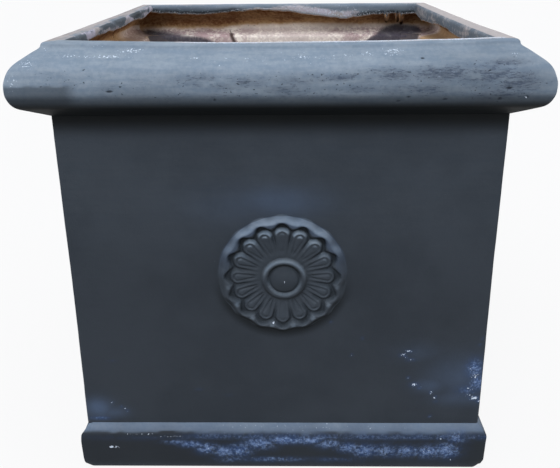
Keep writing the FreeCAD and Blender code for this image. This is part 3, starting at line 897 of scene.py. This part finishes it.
def rosette_relief(x, z, boss_shift, crispness):
    """Height in mm over the wall, at a place in mm from the flower's centre."""
    radius, angle = np.hypot(x, z), np.arctan2(-x, z)
    pitch = 2 * math.pi / petal_count
    place = np.round(angle / pitch)
    swing = angle - place * pitch
    crisp = crispness[place.astype(int) % petal_count]
    between = (1 - np.cos(swing * petal_count)) / 2
    across, along = np.abs(radius * np.sin(swing)), radius * np.cos(swing)
    rim_radius = rosette_radius / MM

    # border with shallow lobes, which falls into a crescent beyond each petal
    outer = rim_radius - 2.0 * between
    inner = 60.6 - 5.8 * between
    climb = np.clip((outer - radius) / 8.0, 0, 1)
    border = 6.8 * (climb * climb * (3 - 2 * climb)) ** 0.75 * smoothstep(radius, inner - 2.2, inner + 0.6)
    bead = 6.8 * bump(radius - 54.8, 2.4) * bump(radius * (np.abs(swing) - pitch / 2), 2.3)
    plate = 1.6 * smoothstep(outer - radius, 0, 5)

    # petals: raised loops with a midrib
    root, shoulder, tip = 21.0, 46.3, 53.6
    half_tip = tip - shoulder
    half = np.interp(along, [root, shoulder], [3.0, half_tip])
    inset = np.where(along < shoulder, half - across, half_tip - np.hypot(across, along - shoulder))
    crest = np.interp(along, [root, 30, shoulder, tip], [4.6, 4.8, 6.8, 6.2])
    lines = smoothstep(along, 25, 31)
    groove = bump(inset - 3.3, 0.95) * lines * (0.15 + 0.85 * crisp)
    body = smoothstep(inset, -1.3, 1.0)
    valley = np.interp(along, [root, 36, shoulder], [4.6, 3.8, 1.8])
    petal = valley + body * (crest - valley) - 2.0 * groove

    # ring and the dome that it holds
    ring_radius, ring_half, dome_radius = 19.4, 3.8, 15.2
    reach = np.hypot(x - boss_shift[0], z - boss_shift[1])
    ring = 5.0 + 4.0 * np.sqrt(np.clip(1 - ((reach - ring_radius) / ring_half) ** 2, 0, 1))
    dome = 6.1 + 1.9 * (1 - np.clip(reach / dome_radius, 0, 1) ** 2) - 0.9 * bump(reach - 15.6, 0.9)

    height = np.where(radius < 59, softer_maximum(plate, petal, 0.6), plate)
    height = softer_maximum(height, border, 0.7)
    height = softer_maximum(height, bead, 0.8)
    middle = np.maximum(np.where(reach < 17, dome, ring), 4.4)
    return np.where(reach < ring_radius + ring_half, middle, height)


def rosette(number, side):
    """Disc of fine quads that lies on the wall's own relief, with its edge let into the wall."""
    ring_count, spoke_count = 96, petal_count * 24
    radii = np.concatenate([np.linspace(0.4, rosette_radius / MM, ring_count), [rosette_radius / MM + 0.3]])
    angles = np.linspace(0, 2 * math.pi, spoke_count, endpoint=False)
    radius, angle = np.meshgrid(radii, angles)
    x, z = -radius * np.sin(angle), radius * np.cos(angle)
    shift, boss_shift = (front_shift, front_boss_shift) if side == "front" else ((0, 0), (0, 0))
    petals_turned = 5 * number
    height = rosette_relief(x, z, boss_shift, np.roll(PETAL_CRISPNESS, petals_turned))
    height = spread(spread(height, 2).T, 1).T
    height[:, :3] = height[:, 3:4]
    height[:, -2:] = (0, -2.5)
    flat = np.stack([x * MM + shift[0], 0 * x - wall_out, z * MM + rosette_rise + shift[1]], axis=-1)
    flat = flat @ quarter_turn(number).T
    outward = quarter_turn(number) @ np.array([0, -1, 0])
    crumbs = 0.22 * noise(flat, 5 * MM, 51) + 0.30 * noise(flat, 13 * MM, 52)
    raised = smoothstep(height, 0.3, 3)
    lift = coat_relief(flat) - skin_inset + (height + crumbs * raised - 0.3) * MM
    grid = flat + outward * lift[..., None]
    normals = shading_normals(grid, closed=False)
    # Painted shade in recesses: how far each point lies below the mean of its neighbours
    around = (np.roll(height, 9, axis=0) + np.roll(height, -9, axis=0)) / 2
    level = (around + np.roll(height, 4, axis=1) + np.roll(height, -4, axis=1)) / 3
    hollow = np.clip((level - height) / 2.2, 0, 1)
    # Weight towards the top, where the painted top light falls
    upper = 0.10 + 0.90 * smoothstep(z - 0.12 * radius, 0, 42)
    around_boss = np.hypot(x - boss_shift[0], z - boss_shift[1])
    # Painted highlights on the ring's upper outer slope and on its lower inner edge, and painted shade under the ring
    ring_top_highlight = bump(around_boss - 21.6, 1.7) * smoothstep(z, -6, 14)
    ring_foot_highlight = bump(around_boss - 16.8, 1.3) * smoothstep(-z, -2, 12)
    ring_under_shade = bump(around_boss - 21.2, 2.6) * smoothstep(-z, -10, 12)
    outer_part = 0.15 + 0.85 * smoothstep(radius, 36, 50)
    tips = np.cos(angle * petal_count) / 2 + 0.5
    # Painted shade in the crescent beyond each petal tip, strongest at the top
    crescent_shade = bump(radius - 57.4, 3.0) * smoothstep(tips, 0.25, 0.8) * (0.2 + 0.8 * smoothstep(z, 0, 35))
    # Painted shade at the dome's lower foot and in the groove between dome and ring
    dome_foot_shade = (1 - smoothstep(around_boss, 14, 17)) * smoothstep(-z, -4, 16)
    ring_shade = bump(around_boss - 17.3, 2.3) * smoothstep(z, -4, 12)
    border = smoothstep(radius, 55, 58)
    # How much of the painted top light reaches across the border, fading at its outer edge
    top_light_share = 0.80 + 0.14 * border - 0.44 * smoothstep(radius, 61.5, 68)
    # Painted highlights on the beads at the cusps, in the lower half
    bead_highlights = bump(radius - 57.8, 2.2) * smoothstep(tips, 0.2, 0.0) * smoothstep(-z, -10, 30)
    dots = [(2.1, -4.2, 0.6, 1.5, 1.6), (-9.8, -54, 1.0, 1.0, 1.5)] if side == "front" else []
    masks = {
        "paint": 1.0,
        # Painted top light on up-facing slopes, with the painted highlights
        "bleach_and_top_light": np.clip(smoothstep(normals[..., 2], 0.10, 0.62) * upper * outer_part * top_light_share * (1 - 0.6 * crescent_shade)
                          + 0.5 * ring_top_highlight + 0.3 * ring_foot_highlight + 0.35 * bead_highlights + 0.05, 0, 1),
        # Painted bluish top light on the upper border
        "haze_and_top_light": 0.45 * border * smoothstep(z, -10, 40),
        # Painted shade on down-facing slopes, in recesses, crescents and grooves, and under the ring
        "shade_and_grime": np.clip(smoothstep(-normals[..., 2], 0.15, 0.7) * (0.40 + 0.5 * smoothstep(radius, 58, 62))
                         + hollow * (0.25 + 0.25 * upper) + 0.6 * crescent_shade + 0.4 * dome_foot_shade + 0.6 * ring_shade
                         + 0.36 * ring_under_shade, 0, 0.9),
        "fleck": marks_on(x * MM, z * MM, dots),
    }
    piece = mesh_piece(f"{side}_rosette_skin", grid, normals, masks)
    dressed(piece, f"{side}_rosette", "slate_paint")


rim()
wall()
plinth()
floor()
floor_bonds()
corner_bonds()
for number, side in enumerate(SIDES):
    rosette(number, side)


# Stage, light and camera

WHITE, FLOOR_GREY, SKY = (1, 1, 1, 1), rgb("b4b4b6"), rgb("dfe6f0")
sky_strength, floor_whiteness = 0.55, 0.9
# Camera as fitted to the corners of the planter in the photograph: place in metres, angles in degrees
camera_place = (0.0100, -0.8262, 0.5637)
camera_pitch, camera_yaw, camera_roll = 18.78, 0.94, -0.50
focal_length, sensor_width, lens_shift = 41.79, 36, -0.111


def background_rays(s):
    """1 for the rays that show the background, from the camera or by way of gloss or glass."""
    path = s.node("ShaderNodeLightPath").outputs
    return s.most(path["Is Camera Ray"], s.most(path["Is Glossy Ray"], path["Is Transmission Ray"]))


def studio_floor():
    half = 30.0
    mesh = bpy.data.meshes.new("studio_floor")
    mesh.from_pydata([(-half, -half, 0), (half, -half, 0), (half, half, 0), (-half, half, 0)], [], [(0, 1, 2, 3)])
    piece = placed("studio_floor", mesh)
    cloth = bpy.data.materials.new("studio_floor")
    s = Shades(cloth)
    dull = s.node("ShaderNodeBsdfDiffuse", {"Color": FLOOR_GREY}).outputs["BSDF"]
    white = s.node("ShaderNodeEmission", {"Color": WHITE}).outputs["Emission"]
    mixed = s.node("ShaderNodeMixShader", {0: s.times(background_rays(s), floor_whiteness), 1: dull, 2: white})
    s.node("ShaderNodeOutputMaterial", {"Surface": mixed.outputs["Shader"]})
    mesh.materials.append(cloth)


def sky():
    world = bpy.data.worlds.new("studio")
    bpy.context.scene.world = world
    s = Shades(world)
    soft = s.node("ShaderNodeBackground", {"Color": SKY, "Strength": sky_strength}).outputs["Background"]
    white = s.node("ShaderNodeBackground", {"Color": WHITE}).outputs["Background"]
    mixed = s.node("ShaderNodeMixShader", {0: background_rays(s), 1: soft, 2: white})
    s.node("ShaderNodeOutputWorld", {"Surface": mixed.outputs["Shader"]})


def lamp(name, direction, strength, spread_angle, colour):
    light = bpy.data.lights.new(name, "SUN")
    light.energy = strength
    light.angle = math.radians(spread_angle)
    light.color = rgb(colour)[:3]
    placed(name, light).rotation_euler = Vector(direction).to_track_quat("Z", "Y").to_euler()


def camera():
    turn = Matrix()
    for angle, axis in ((camera_yaw, "Z"), (90 - camera_pitch, "X"), (camera_roll, "Z")):
        turn = turn @ Matrix.Rotation(math.radians(angle), 4, axis)
    lens = bpy.data.cameras.new("camera")
    lens.lens, lens.sensor_width, lens.shift_y = focal_length, sensor_width, lens_shift
    lens.clip_start = 0.01
    piece = placed("camera", lens)
    piece.matrix_world = Matrix.Translation(camera_place) @ turn
    bpy.context.scene.camera = piece


studio_floor()
sky()
lamp("key", (-0.25, -1.0, 0.92), 2.15, 40, "f2f5ff")
lamp("overhead", (-0.10, -0.15, 1.0), 1.3, 60, "f4f6ff")
lamp("left", (-1.0, -0.15, 0.42), 1.0, 40, "f6f6ff")
lamp("right", (1.0, -0.15, 0.42), 1.0, 40, "f6f6ff")
camera()
bpy.context.scene.view_settings.view_transform = "Standard"
